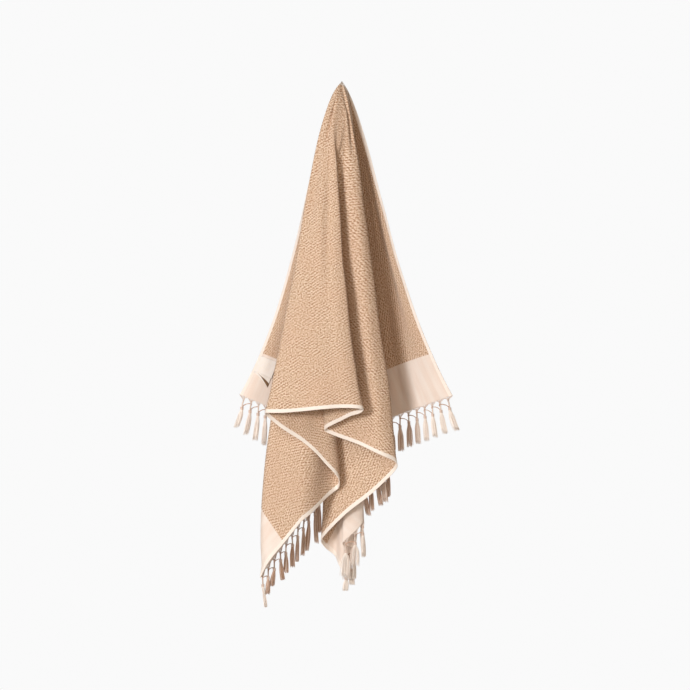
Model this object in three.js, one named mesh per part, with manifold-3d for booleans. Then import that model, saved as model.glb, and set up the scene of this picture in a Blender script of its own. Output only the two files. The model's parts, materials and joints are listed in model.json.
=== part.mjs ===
// A flat-woven bath towel with knotted fringes, hung from one point in the middle of a long edge.
// Millimetres, +Z up, front toward -Y. The origin is the point that the towel hangs from.
//
// The cloth is a folded fan: every thread line from the hanging point to the edge is nearly
// straight, and the fan zigzags through the folds listed in FOLDS.
import * as THREE from 'three';
import { mergeVertices } from 'three/addons/utils/BufferGeometryUtils.js';
import Module from 'manifold-3d';

const wasm = await Module();
wasm.setup();

// ---- the flat towel ---------------------------------------------------------------------------
const HALF_LENGTH = 800; // from the hanging point to each end band's outer edge
const WIDTH = 800; // between the two selvedges
const THICKNESS = 1.5; // of the cloth
const TOP_THICKNESS = 1; // of the cloth where it is pressed together below the hanging point
const EDGE_LENGTH = 2 * HALF_LENGTH + 2 * WIDTH; // round the three free edges

// ---- the hanging shape ------------------------------------------------------------------------
const NECK_RUN = 49; // how fast the gathered neck widens below the hanging point
const NECK_LIMIT = 0.93; // the widest that the neck may open, as a share of the thread length
const NECK_TURN = 0.1; // how much rounder the folds are near the neck

// A row for each fold line, from the left upper corner round the lower edges to the right one.
//   at       place on the edge, measured round from the left upper corner
//   x, y     where that place hangs
//   turnX/Y  which way the cloth runs as it turns there, and how widely; 0, 0 is no sharp turn
//   stretch  how much longer the thread line hangs than it lies flat
//   start    where the fold begins, as a share of the thread line
//   neckX/Y  how far the line stands off the axis in the gathered neck
//   sag      how far it swings sideways at two thirds of its length
const FOLDS = [
  { name: 'leftTop', at: 0, x: -250, y: 48, turnX: 0, turnY: 0, stretch: 1.006,
    start: 0, neckX: -14, neckY: 34, sag: 30 },
  { name: 'leftWing', at: 112, x: -168, y: 66, turnX: 0, turnY: 0, stretch: 1.012,
    start: 0.3, neckX: -14, neckY: 34, sag: 14 },
  { name: 'leftDeep', at: 251, x: -110, y: 150, turnX: 110, turnY: 0, stretch: 1.02,
    start: 0.1, neckX: -16, neckY: 38, sag: 0 },
  { name: 'leftThird', at: 390, x: -134, y: 50, turnX: 0, turnY: -70, stretch: 1.033,
    start: 0.15, neckX: -20, neckY: 22, sag: 0 },
  { name: 'leftInner', at: 537, x: -54, y: 98, turnX: 0, turnY: -90, stretch: 1.046,
    start: 0.2, neckX: -14, neckY: 12, sag: 0 },
  { name: 'leftCorner', at: 800, x: -198, y: -20, turnX: 0, turnY: -80, stretch: 1.083,
    start: 0.1, neckX: -24, neckY: 5, sag: -22 },
  { name: 'leftLow', at: 985, x: -98, y: -36, turnX: 0, turnY: 0, stretch: 1.068,
    start: 0.4, neckX: -22, neckY: 0, sag: -10 },
  { name: 'leftUnder', at: 1126, x: -8, y: 12, turnX: 0, turnY: -130, stretch: 1.058,
    start: 0.1, neckX: -20, neckY: -5, sag: 0 },
  { name: 'leftHem', at: 1290, x: -96, y: -44, turnX: 0, turnY: 0, stretch: 1.03,
    start: 0.35, neckX: -24, neckY: -10, sag: 0 },
  { name: 'leftFront', at: 1400, x: -184, y: -80, turnX: 0, turnY: -90, stretch: 1.008,
    start: 0, neckX: -25, neckY: -15, sag: 11 },
  { name: 'frontRight', at: 1632, x: 50, y: -98, turnX: 0, turnY: 95, stretch: 1.012,
    start: 0, neckX: -26, neckY: -27, sag: -3 },
  { name: 'midUnder', at: 1814, x: -42, y: -34, turnX: 0, turnY: 90, stretch: 1.03,
    start: 0.15, neckX: -28, neckY: -22, sag: 0 },
  { name: 'rightFront', at: 2003, x: 137, y: -30, turnX: 0, turnY: 120, stretch: 1.051,
    start: 0, neckX: 10, neckY: -12, sag: -4 },
  { name: 'rightUnder', at: 2238, x: -48, y: 64, turnX: 0, turnY: 110, stretch: 1.094,
    start: 0.15, neckX: -4, neckY: 0, sag: 0 },
  { name: 'rightCorner', at: 2400, x: 5, y: 83, turnX: 0, turnY: 0, stretch: 1.062,
    start: 0.3, neckX: 2, neckY: 3, sag: 0 },
  { name: 'tuckOut', at: 2461, x: 30, y: 77, turnX: 0, turnY: -28, stretch: 1.05,
    start: 0.72, neckX: 4, neckY: 5, sag: 0 },
  { name: 'tuckIn', at: 2497, x: 2, y: 60, turnX: 0, turnY: -32, stretch: 1.06,
    start: 0.72, neckX: 4, neckY: 6, sag: 0 },
  { name: 'rightInner', at: 2566, x: 54, y: 66, turnX: 0, turnY: 60, stretch: 1.05,
    start: 0.25, neckX: 8, neckY: 9, sag: 0 },
  { name: 'rightThird', at: 2653, x: 15, y: 102, turnX: 45, turnY: 40, stretch: 1.036,
    start: 0.25, neckX: 6, neckY: 14, sag: 0 },
  { name: 'rightSecond', at: 2792, x: 112, y: 46, turnX: 0, turnY: 80, stretch: 1.043,
    start: 0.15, neckX: 12, neckY: 18, sag: 0 },
  { name: 'rightBack', at: 2917, x: 35, y: 114, turnX: 0, turnY: 80, stretch: 1.024,
    start: 0.1, neckX: 4, neckY: 28, sag: 0 },
  { name: 'rightDeep', at: 3054, x: 152, y: 88, turnX: 0, turnY: 0, stretch: 1.016,
    start: 0.05, neckX: 8, neckY: 32, sag: 0 },
  { name: 'rightTop', at: 3200, x: 270, y: 10, turnX: 0, turnY: 0, stretch: 1.014,
    start: 0, neckX: 12, neckY: 28, sag: -26 },
];

// ---- the mesh of the cloth --------------------------------------------------------------------
const ROWS = 17; // along a thread line
const TOP_ROW = 0.018; // the first row below the hanging point, as a share of the thread line
const ROW_GROWTH = 1.35; // rows lie closer together toward the top
const COLUMN_STEP = 47; // the widest step along the edge
const LEAST_COLUMNS = 5; // between two folds
const SHORT_SPAN = 138; // folds closer than this along the edge have one column fewer

// ---- the fringes ------------------------------------------------------------------------------
const TASSELS = 33; // on each end
const EDGE_GAP = 0.5; // between the cloth's edge and the comb
const KNOTTED_HEIGHT = 24; // of the knotted lattice, the comb's back
const KNOTTED_THICKNESS = 1.6;
const FRINGE_LENGTH = 96; // from the cloth to the tassels' ends
const TASSEL_WIDTH = 11;
const TASSEL_THICKNESS = 4.5;
const TASSEL_SHARE = 0.62; // of the pitch, where the edge hangs steeply
const TASSEL_ROOT = 3; // how far a tassel reaches up into the comb's back

// ---- the label --------------------------------------------------------------------------------
const LABEL = { from: 694, to: 738, near: 5, far: 69, thickness: 0.8, gap: 0.6, lift: 5 };

// ---- helpers ----------------------------------------------------------------------------------
const clamp01 = (v) => Math.min(1, Math.max(0, v));

function smooth(v, low, high) {
  const u = clamp01((v - low) / (high - low));
  return u * u * (3 - 2 * u);
}

const mix = (a, b, k) => a + (b - a) * k;

// The flat place, across and down from the hanging point, of a place on the edge.
function flatEdge(at) {
  if (at < WIDTH) return { across: -HALF_LENGTH, down: at };
  if (at > EDGE_LENGTH - WIDTH) return { across: HALF_LENGTH, down: EDGE_LENGTH - at };
  return { across: at - WIDTH - HALF_LENGTH, down: WIDTH };
}

function flatAngle(at) {
  const p = flatEdge(at);
  return Math.atan2(p.across, p.down);
}

for (const fold of FOLDS) {
  const p = flatEdge(fold.at);
  fold.angle = flatAngle(fold.at);
  fold.length = Math.hypot(p.across, p.down) * fold.stretch;
}

// Where each fold line hangs at a share of its length, over its distance from the hanging point.
// A fold that hasn't begun lies on the line between its neighbours.
function foldPlaces(share) {
  const last = FOLDS.length - 1;
  const places = FOLDS.map((f) => {
    const length = share * f.length;
    const cap = 1 - Math.exp(-length / NECK_RUN);
    const neck = cap * (1 - share ** 3);
    const swing = 6.75 * share * share * (1 - share);
    const round = (share + NECK_TURN * (1 - share) ** 2 * cap) / length;
    return {
      x: f.x / f.length + (f.neckX * neck + f.sag * swing) / length,
      y: f.y / f.length + (f.neckY * neck) / length,
      turnX: f.turnX * round,
      turnY: f.turnY * round,
      begun: f.start > 0 ? smooth(share, f.start - 0.06, f.start + 0.2) : 1,
    };
  });
  const carry = FOLDS.map(() => 0);
  for (let i = 1; i < last; i += 1) {
    const k = (FOLDS[i].angle - FOLDS[i - 1].angle) / (FOLDS[i + 1].angle - FOLDS[i - 1].angle);
    const p = places[i];
    const fromLast = (1 - p.begun) * (1 - k);
    const scale = 1 - fromLast * carry[i - 1];
    carry[i] = ((1 - p.begun) * k) / scale;
    p.x = (p.begun * p.x + fromLast * places[i - 1].x) / scale;
    p.y = (p.begun * p.y + fromLast * places[i - 1].y) / scale;
  }
  for (let i = last - 1; i > 0; i -= 1) {
    places[i].x += carry[i] * places[i + 1].x;
    places[i].y += carry[i] * places[i + 1].y;
  }
  return places;
}

// How the section curve passes fold i, on the side of the fold `other`.
function foldTangent(places, i, other) {
  const p = places[i];
  const q = places[other];
  if (i === 0 || i === FOLDS.length - 1) {
    const sign = other > i ? 1 : -1;
    return { x: (q.x - p.x) * sign, y: (q.y - p.y) * sign };
  }
  const span = FOLDS[i + 1].angle - FOLDS[i - 1].angle;
  const k = Math.abs(FOLDS[other].angle - FOLDS[i].angle) / span;
  const turned = p.turnX === 0 && p.turnY === 0 ? 0 : p.begun;
  return {
    x: mix((places[i + 1].x - places[i - 1].x) * k, p.turnX, turned),
    y: mix((places[i + 1].y - places[i - 1].y) * k, p.turnY, turned),
  };
}

const CURVE_STEPS = 60;

// The folded curve between two folds, with its running length.
function panelCurve(places, i) {
  const a = places[i];
  const b = places[i + 1];
  const from = foldTangent(places, i, i + 1);
  const to = foldTangent(places, i + 1, i);
  const points = [];
  let run = 0;
  for (let s = 0; s <= CURVE_STEPS; s += 1) {
    const u = s / CURVE_STEPS;
    const h00 = 2 * u ** 3 - 3 * u ** 2 + 1;
    const h10 = u ** 3 - 2 * u ** 2 + u;
    const h01 = 3 * u ** 2 - 2 * u ** 3;
    const h11 = u ** 3 - u ** 2;
    const x = a.x * h00 + from.x * h10 + b.x * h01 + to.x * h11;
    const y = a.y * h00 + from.y * h10 + b.y * h01 + to.y * h11;
    if (s > 0) run += Math.hypot(x - points[s - 1].x, y - points[s - 1].y);
    points.push({ x, y, run });
  }
  return points;
}

function alongCurve(points, k) {
  const target = k * points[points.length - 1].run;
  let s = 1;
  while (s < points.length - 1 && points[s].run < target) s += 1;
  const a = points[s - 1];
  const b = points[s];
  const u = b.run > a.run ? clamp01((target - a.run) / (b.run - a.run)) : 0;
  return { x: mix(a.x, b.x, u), y: mix(a.y, b.y, u) };
}

// Where the thread line to each edge place in `ats` hangs, at a share of its length.
function hangRow(share, ats) {
  const places = foldPlaces(share);
  const curves = [];
  for (let i = 0; i < FOLDS.length - 1; i += 1) curves.push(panelCurve(places, i));
  return ats.map((at) => {
    let i = 0;
    while (i < FOLDS.length - 2 && at > FOLDS[i + 1].at) i += 1;
    const a = FOLDS[i];
    const b = FOLDS[i + 1];
    const k = (flatAngle(at) - a.angle) / (b.angle - a.angle);
    const d = alongCurve(curves[i], k);
    const p = flatEdge(at);
    const length = share * Math.hypot(p.across, p.down) * mix(a.stretch, b.stretch, k);
    const over = Math.max(1, Math.hypot(d.x, d.y) / NECK_LIMIT);
    const x = (length * d.x) / over;
    const y = (length * d.y) / over;
    return new THREE.Vector3(x, y, -Math.sqrt(Math.max(0, length * length - x * x - y * y)));
  });
}

// A closed sheet from a grid of points: rows of equal length, thickened half to each side.
// `half` gives the half thickness of a row. With `tip` the first row closes on that point.
function sheetGeometry(grid, half, tip) {
  const rows = grid.length;
  const cols = grid[0].length;
  const normals = grid.map((row, j) => row.map((p, i) => {
    const du = new THREE.Vector3().subVectors(row[Math.min(cols - 1, i + 1)], row[Math.max(0, i - 1)]);
    const up = j > 0 ? grid[j - 1][i] : (tip ?? p);
    const down = j < rows - 1 ? grid[j + 1][i] : p;
    const dv = new THREE.Vector3().subVectors(down, up);
    return new THREE.Vector3().crossVectors(dv, du).normalize();
  }));
  const positions = [];
  const put = (p, n, d) => {
    positions.push(p.x + n.x * d, p.y + n.y * d, p.z + n.z * d);
    return positions.length / 3 - 1;
  };
  const front = grid.map((row, j) => row.map((p, i) => put(p, normals[j][i], half(j))));
  const back = grid.map((row, j) => row.map((p, i) => put(p, normals[j][i], -half(j))));
  const index = [];
  const quad = (a, b, c, d) => index.push(a, b, c, a, c, d);
  for (let j = 0; j < rows - 1; j += 1) {
    for (let i = 0; i < cols - 1; i += 1) {
      quad(front[j][i], front[j + 1][i], front[j + 1][i + 1], front[j][i + 1]);
      quad(back[j][i], back[j][i + 1], back[j + 1][i + 1], back[j + 1][i]);
    }
    quad(front[j][0], back[j][0], back[j + 1][0], front[j + 1][0]);
    quad(front[j][cols - 1], front[j + 1][cols - 1], back[j + 1][cols - 1], back[j][cols - 1]);
  }
  for (let i = 0; i < cols - 1; i += 1) {
    quad(front[rows - 1][i], back[rows - 1][i], back[rows - 1][i + 1], front[rows - 1][i + 1]);
  }
  if (tip) {
    const up = new THREE.Vector3(0, 0, 1);
    const above = put(tip, up, half(0));
    const below = put(tip, up, -2.5 * half(0));
    for (let i = 0; i < cols - 1; i += 1) {
      index.push(above, front[0][i], front[0][i + 1]);
      index.push(below, back[0][i + 1], back[0][i]);
    }
    quad(above, below, back[0][0], front[0][0]);
    quad(above, front[0][cols - 1], back[0][cols - 1], below);
  } else {
    for (let i = 0; i < cols - 1; i += 1) quad(front[0][i], front[0][i + 1], back[0][i + 1], back[0][i]);
  }
  const geometry = new THREE.BufferGeometry();
  geometry.setAttribute('position', new THREE.Float32BufferAttribute(positions, 3));
  geometry.setIndex(index);
  return geometry;
}

// ---- the cloth --------------------------------------------------------------------------------
function edgePlaces() {
  const places = [];
  for (let i = 0; i < FOLDS.length - 1; i += 1) {
    const span = FOLDS[i + 1].at - FOLDS[i].at;
    const least = span < SHORT_SPAN ? LEAST_COLUMNS - 1 : LEAST_COLUMNS;
    const count = Math.max(least, Math.round(span / COLUMN_STEP));
    for (let c = 0; c < count; c += 1) {
      const u = c / count;
      places.push(FOLDS[i].at + span * (u - 0.1 * Math.sin(2 * Math.PI * u)));
    }
  }
  places.push(EDGE_LENGTH);
  return places;
}

const PLACES = edgePlaces();
const SHARES = [];
for (let j = 0; j < ROWS; j += 1) {
  SHARES.push(mix(TOP_ROW, 1, (j / (ROWS - 1)) ** ROW_GROWTH));
}
const clothGrid = SHARES.map((share) => hangRow(share, PLACES));
const clothHalf = (j) => mix(TOP_THICKNESS, THICKNESS, smooth(SHARES[j], 0.1, 0.4)) / 2;
const clothGeometry = sheetGeometry(clothGrid, clothHalf, new THREE.Vector3(0, 0, 0));

// ---- a fringe: a comb whose back is the knotted lattice and whose teeth are the tassels -----------
function solidOf(geometry) {
  const bare = geometry.clone();
  bare.deleteAttribute('normal');
  bare.deleteAttribute('uv');
  const merged = mergeVertices(bare, 1e-4);
  return new wasm.Manifold(new wasm.Mesh({
    numProp: 3,
    vertProperties: new Float32Array(merged.attributes.position.array),
    triVerts: new Uint32Array(merged.index.array),
  }));
}

function geometryOf(solid) {
  const mesh = solid.getMesh();
  const geometry = new THREE.BufferGeometry();
  const positions = new Float32Array((mesh.vertProperties.length / mesh.numProp) * 3);
  for (let v = 0; v < positions.length / 3; v += 1) {
    for (let k = 0; k < 3; k += 1) positions[3 * v + k] = mesh.vertProperties[mesh.numProp * v + k];
  }
  geometry.setAttribute('position', new THREE.BufferAttribute(positions, 3));
  geometry.setIndex(Array.from(mesh.triVerts));
  return geometry;
}

function hungFrom(p, drop) {
  return new THREE.Vector3(p.x, p.y, p.z - drop);
}

function fringeGeometry(start) {
  const back = hangRow(1, PLACES.filter((at) => at >= start && at <= start + WIDTH));
  const top = back.map((p) => hungFrom(p, EDGE_GAP + THICKNESS / 2));
  const bottom = back.map((p) => hungFrom(p, KNOTTED_HEIGHT));
  let solid = solidOf(sheetGeometry([top, bottom], () => KNOTTED_THICKNESS / 2, null));
  const ats = [];
  for (let k = 0; k <= TASSELS; k += 1) ats.push(start + (WIDTH * k) / TASSELS);
  const edge = hangRow(1, ats);
  for (let k = 0; k < TASSELS; k += 1) {
    const along = new THREE.Vector3().subVectors(edge[k + 1], edge[k]);
    along.z = 0;
    const pitch = along.length();
    along.normalize();
    const width = Math.min(TASSEL_WIDTH, TASSEL_SHARE * pitch);
    const height = FRINGE_LENGTH - KNOTTED_HEIGHT + TASSEL_ROOT;
    const tassel = new THREE.BoxGeometry(width, TASSEL_THICKNESS, height);
    const middle = new THREE.Vector3().addVectors(edge[k], edge[k + 1]).multiplyScalar(0.5);
    tassel.rotateZ(Math.atan2(along.y, along.x));
    tassel.translate(middle.x, middle.y, middle.z - FRINGE_LENGTH + height / 2);
    solid = solid.add(solidOf(tassel));
  }
  return geometryOf(solid);
}

// ---- the label: a leaf sewn along its top and sides, its lower edge lifting off the cloth ---------
function labelGeometry() {
  const rows = 5;
  const cols = 6;
  const grid = [];
  for (let j = 0; j < rows; j += 1) {
    const row = [];
    const v = j / (rows - 1);
    for (let i = 0; i < cols; i += 1) {
      const u = i / (cols - 1);
      const across = mix(LABEL.from, LABEL.to, v);
      const down = mix(LABEL.near, LABEL.far, u);
      const share = across / HALF_LENGTH;
      const at = down / share;
      const step = 4;
      const [p, beside] = hangRow(share, [at, at + step]);
      const [below] = hangRow(share + step / HALF_LENGTH, [at]);
      const normal = new THREE.Vector3()
        .crossVectors(new THREE.Vector3().subVectors(below, p), new THREE.Vector3().subVectors(beside, p))
        .normalize();
      const off = THICKNESS / 2 + LABEL.gap + LABEL.thickness / 2 + LABEL.lift * v ** 3 * u;
      row.push(p.addScaledVector(normal, off));
    }
    grid.push(row);
  }
  return sheetGeometry(grid, () => LABEL.thickness / 2, null);
}

// ---- the towel --------------------------------------------------------------------------------
function material(color, roughness) {
  return new THREE.MeshStandardMaterial({ color, roughness, metalness: 0 });
}

function piece(name, geometry, look) {
  const mesh = new THREE.Mesh(geometry, look);
  mesh.name = name;
  return mesh;
}

const group = new THREE.Group();
group.add(piece('towel_cloth', clothGeometry, material(0xcaa582, 0.95)));
group.add(piece('fringe_left', fringeGeometry(0), material(0xe9d6c3, 0.95)));
group.add(piece('fringe_right', fringeGeometry(EDGE_LENGTH - WIDTH), material(0xe9d6c3, 0.95)));
group.add(piece('label', labelGeometry(), material(0xf3e8dc, 0.9)));

export default group;
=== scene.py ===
"""A flat-woven bath towel with knotted fringes, hung from one point in the middle of a long edge.

Metres in the scene, millimetres in the tables. +Z is up, the front faces -Y, and the origin is the
point that the towel hangs from.
"""

import json
import math

import bpy
import numpy as np
from bpy.props import FloatProperty, FloatVectorProperty, IntProperty, PointerProperty
from bpy.types import Operator, Panel, PropertyGroup
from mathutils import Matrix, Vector

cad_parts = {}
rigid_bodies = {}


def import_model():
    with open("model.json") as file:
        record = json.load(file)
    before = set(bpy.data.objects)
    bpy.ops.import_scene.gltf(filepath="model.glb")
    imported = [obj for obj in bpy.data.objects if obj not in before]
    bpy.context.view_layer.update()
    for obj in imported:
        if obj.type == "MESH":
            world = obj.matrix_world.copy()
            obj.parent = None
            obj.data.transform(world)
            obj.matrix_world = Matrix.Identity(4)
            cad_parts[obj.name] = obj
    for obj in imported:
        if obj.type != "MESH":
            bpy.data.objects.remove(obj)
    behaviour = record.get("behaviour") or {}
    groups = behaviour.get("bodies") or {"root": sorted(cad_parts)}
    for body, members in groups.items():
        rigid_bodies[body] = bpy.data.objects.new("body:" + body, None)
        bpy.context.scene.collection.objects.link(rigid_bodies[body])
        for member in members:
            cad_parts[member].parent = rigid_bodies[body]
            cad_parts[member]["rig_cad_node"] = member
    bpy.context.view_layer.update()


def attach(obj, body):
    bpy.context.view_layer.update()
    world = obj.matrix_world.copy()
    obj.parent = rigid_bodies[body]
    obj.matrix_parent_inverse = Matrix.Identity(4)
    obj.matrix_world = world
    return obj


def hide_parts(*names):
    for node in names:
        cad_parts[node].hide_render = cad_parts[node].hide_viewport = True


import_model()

bl_info = {
    "name": "Hanging bath towel",
    "version": (1, 0, 0),
    "blender": (4, 5, 0),
    "location": "View3D > Sidebar > Towel",
    "description": "Makes a flat-woven towel that hangs from one point, with fringes and a label",
    "category": "Object",
}

MM = 0.001
SEED = 17

# ---- the flat towel, in mm ----
HALF_LENGTH = 800.0
WIDTH = 800.0
EDGE_LENGTH = 2 * HALF_LENGTH + 2 * WIDTH

# ---- the hanging shape, in mm ----
NECK_RUN = 49.0  # the gathers open to their width over about this length
NECK_LIMIT = 0.93  # the flattest that a line from the tip may run, as sideways over length
NECK_TURN = 0.10  # how round the folds stay near the hanging point
NECK_SOFT = (0.13, 0.26)  # from where to where, down the cloth, the gathers gain hard lines
NECK_REACH = 95.0
SWING_PEAK = 27 / 4  # makes the largest value of a * a * (1 - a) one
FOLD_FADE = (-0.06, 0.20)  # a fold opens over this part of its length, about its start

# A row for each fold line, from the left upper corner round the lower edges to the right one:
# its name, its place on the edge, x and y where that place hangs, which way the cloth runs as it
# turns there (x, y), its stretch, where it begins along that line, how far it stands off
# the axis in the gathered neck (x, y), and how far it swings sideways.
FOLDS = [
    ("left_top", 0, -250, 48, 0, 0, 1.006, 0.00, -14, 34, 30),
    ("left_wing", 112, -168, 66, 0, 0, 1.012, 0.30, -14, 34, 14),
    ("left_deep", 251, -110, 150, 110, 0, 1.020, 0.10, -16, 38, 0),
    ("left_third", 390, -134, 50, 0, -70, 1.033, 0.15, -20, 22, 0),
    ("left_inner", 537, -54, 98, 0, -90, 1.046, 0.20, -14, 12, 0),
    ("left_corner", 800, -198, -20, 0, -80, 1.083, 0.10, -24, 5, -22),
    ("left_low", 985, -98, -36, 0, 0, 1.068, 0.40, -22, 0, -10),
    ("left_under", 1126, -8, 12, 0, -130, 1.058, 0.10, -20, -5, 0),
    ("left_hem", 1290, -96, -44, 0, 0, 1.030, 0.35, -24, -10, 0),
    ("left_front", 1400, -184, -80, 0, -90, 1.008, 0.00, -25, -15, 11),
    ("front_right", 1632, 50, -98, 0, 95, 1.012, 0.00, -26, -27, -3),
    ("mid_under", 1814, -42, -34, 0, 90, 1.030, 0.15, -28, -22, 0),
    ("right_front", 2003, 137, -30, 0, 120, 1.051, 0.00, 10, -12, -4),
    ("right_under", 2238, -48, 64, 0, 110, 1.094, 0.15, -4, 0, 0),
    ("right_corner", 2400, 5, 83, 0, 0, 1.062, 0.30, 2, 3, 0),
    ("tuck_out", 2461, 30, 77, 0, -28, 1.050, 0.72, 4, 5, 0),
    ("tuck_in", 2497, 2, 60, 0, -32, 1.060, 0.72, 4, 6, 0),
    ("right_inner", 2566, 54, 66, 0, 60, 1.050, 0.25, 8, 9, 0),
    ("right_third", 2653, 15, 102, 45, 40, 1.036, 0.25, 6, 14, 0),
    ("right_second", 2792, 112, 46, 0, 80, 1.043, 0.15, 12, 18, 0),
    ("right_back", 2917, 35, 114, 0, 80, 1.024, 0.10, 4, 28, 0),
    ("right_deep", 3054, 152, 88, 0, 0, 1.016, 0.05, 8, 32, 0),
    ("right_top", 3200, 270, 10, 0, 0, 1.014, 0.00, 12, 28, -26),
]

# Creases and soft ridges: from and to on the flat towel (across, down), half width at each end,
# and height toward the front face, below zero for a trough. The first five begin in the gathers
# under the hanging point.
CREASES = [
    ((6, 18), (72, 160), 2.5, 5, -5.0),
    ((14, 20), (62, 190), 3, 9, 2.5),
    ((2, 52), (-20, 165), 3.2, 4.5, -9.0),
    ((22, 70), (52, 300), 8, 12, 3.0),
    ((-24, 90), (-90, 330), 5, 12, 2.5),
    ((40, 190), (85, 480), 7, 16, -2.0),
    ((-120, 300), (-150, 620), 16, 26, 2.5),
    ((-60, 420), (-40, 780), 18, 30, -2.5),
    ((380, 40), (610, 60), 10, 18, -3.0),
    ((330, 42), (650, 114), 7, 15, -4.0),
    ((420, 120), (690, 185), 14, 24, 3.0),
    ((690, 128), (805, 142), 8, 14, -3.5),
    ((-420, 40), (-640, 70), 12, 20, 2.5),
    ((-560, 500), (-700, 660), 18, 28, -3.0),
    ((-388, 530), (-607, 830), 28, 32, 9.0),
    ((70, 156), (378, 838), 9, 27, 12.0),
    ((46, 141), (290, 780), 5, 12, -6.0),
    ((548, 600), (780, 855), 22, 26, -22.0),
    ((300, 500), (340, 760), 14, 24, 2.5),
    ((560, 600), (690, 720), 14, 24, -2.5),
]

# How the free edge rises (+) or sags (-): its place on the edge, half width and height.
HEM_LIFTS = [
    (1585, 70, 8.0), (1655, 26, -3.0), (1440, 40, -3.0), (1700, 40, 3.0),
    (1240, 46, 4.0), (1345, 30, -3.5), (1130, 34, -3.0), (1000, 60, 3.0),
    (2080, 50, -4.0), (2160, 40, 3.5), (2242, 26, -4.0), (1900, 50, 3.5),
]

MID_STEPS = 60  # steps along the curve between two fold lines


# ---- sizes and colours that a user would change ----
def srgb(r, g, b):
    """A colour written in 0-255 steps, as the shader wants it."""

    def linear(v):
        v /= 255
        return v / 12.92 if v <= 0.04045 else ((v + 0.055) / 1.055) ** 2.4

    return (linear(r), linear(g), linear(b), 1.0)


def length_prop(name, text, value):
    return FloatProperty(name=name, description=text, default=value, min=0, unit="LENGTH")


def colour_prop(name, text, rgb):
    return FloatVectorProperty(
        name=name, description=text, default=srgb(*rgb), size=4, subtype="COLOR", min=0, max=1
    )


class TowelSizes(PropertyGroup):
    thickness: length_prop("Cloth thickness", "Thickness of the woven ground", 0.0013)
    edge_thickness: length_prop("Edge thickness", "Thickness of the selvedges", 0.0022)
    selvedge: length_prop("Selvedge", "Width of the white selvedge along each long edge", 0.009)
    band: length_prop("End band", "Width of the plain band across each end", 0.112)
    weave_across: length_prop("Weave repeat across", "Repeat of the weave along the towel", 0.0122)
    weave_down: length_prop("Weave repeat down", "Repeat of the weave across the towel", 0.0071)
    ripple: length_prop("Ripples", "Height of the soft ripples in the hanging cloth", 0.0016)
    tassels: IntProperty(name="Tassels", description="Tassels on each end", default=33, min=1)
    fringe: length_prop("Fringe length", "From the cloth to the ends of the tassels", 0.096)
    fringe_right: length_prop("Right fringe length", "The same on the right end", 0.086)
    knot_drop: length_prop("Knot drop", "From the cloth to the knot above each tassel", 0.029)
    tassel_width: length_prop("Tassel width", "Width of a tassel near its lower end", 0.0155)
    strand: length_prop("Strand thickness", "Thickness of a yarn of the fringe", 0.0016)


class TowelColours(PropertyGroup):
    ground: colour_prop("Ground", "The tan ground of the weave", (210, 181, 154))
    light_float: colour_prop("Light floats", "The pale threads over the ground", (238, 216, 196))
    dark_gap: colour_prop("Gaps", "The darker gaps between the floats", (166, 126, 96))
    band: colour_prop("End band", "The plain bands of the two ends", (240, 228, 219))
    selvedge: colour_prop("Selvedge", "The white edge threads", (248, 238, 229))
    yarn: colour_prop("Fringe yarn", "The knotted yarn", (253, 245, 238))
    label: colour_prop("Label", "The bare label", (240, 234, 229))
    floor: colour_prop("Floor", "The pale floor", (240, 239, 237))


# ---- the folded fan ----
def smooth(value, low, high):
    """From 0 to 1, smoothly, as value runs from low to high."""
    u = np.clip((value - low) / (high - low), 0, 1)
    return u * u * (3 - 2 * u)


def flat_edge(at):
    """The flat place, across and down from the hanging point, of places on the edge."""
    at = np.asarray(at, float)
    left, right = at < WIDTH, at > EDGE_LENGTH - WIDTH
    across = np.where(left, -HALF_LENGTH, np.where(right, HALF_LENGTH, at - WIDTH - HALF_LENGTH))
    down = np.where(left, at, np.where(right, EDGE_LENGTH - at, WIDTH))
    return across, down


def flat_angle(at):
    """The angle of the lines from the hanging point to places on the edge, from straight down."""
    across, down = flat_edge(at)
    return np.arctan2(across, down)


FOLD_TABLE = np.array([row[1:] for row in FOLDS], float)
FOLD_AT, FOLD_X, FOLD_Y, TURN_X, TURN_Y, STRETCH, START, NECK_X, NECK_Y, SAG = FOLD_TABLE.T
FOLD_ANGLE = flat_angle(FOLD_AT)
FOLD_LENGTH = np.hypot(*flat_edge(FOLD_AT)) * STRETCH


def fold_places(share):
    """Where each fold line hangs at a share of its length, over its distance from the hanging
    point, with how far it has begun and the way the cloth turns there."""
    length = share * FOLD_LENGTH
    cap = 1 - np.exp(-length / NECK_RUN)
    neck = cap * (1 - share**3)
    swing = SWING_PEAK * share * share * (1 - share)
    x = FOLD_X / FOLD_LENGTH + (NECK_X * neck + SAG * swing) / length
    y = FOLD_Y / FOLD_LENGTH + NECK_Y * neck / length
    opening = smooth(share, START + FOLD_FADE[0], START + FOLD_FADE[1])
    begun = np.where(START > 0, opening, 1.0)
    place = np.stack([x, y], 1)
    carry = np.zeros(len(FOLDS))
    for i in range(1, len(FOLDS) - 1):
        k = (FOLD_ANGLE[i] - FOLD_ANGLE[i - 1]) / (FOLD_ANGLE[i + 1] - FOLD_ANGLE[i - 1])
        from_last = (1 - begun[i]) * (1 - k)
        scale = 1 - from_last * carry[i - 1]
        carry[i] = (1 - begun[i]) * k / scale
        place[i] = (begun[i] * place[i] + from_last * place[i - 1]) / scale
    for i in range(len(FOLDS) - 2, 0, -1):
        place[i] += carry[i] * place[i + 1]
    turn = np.stack([TURN_X, TURN_Y], 1)
    turn = turn * ((share + NECK_TURN * (1 - share) ** 2 * cap) / length)[:, None]
    return place, begun, turn


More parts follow.
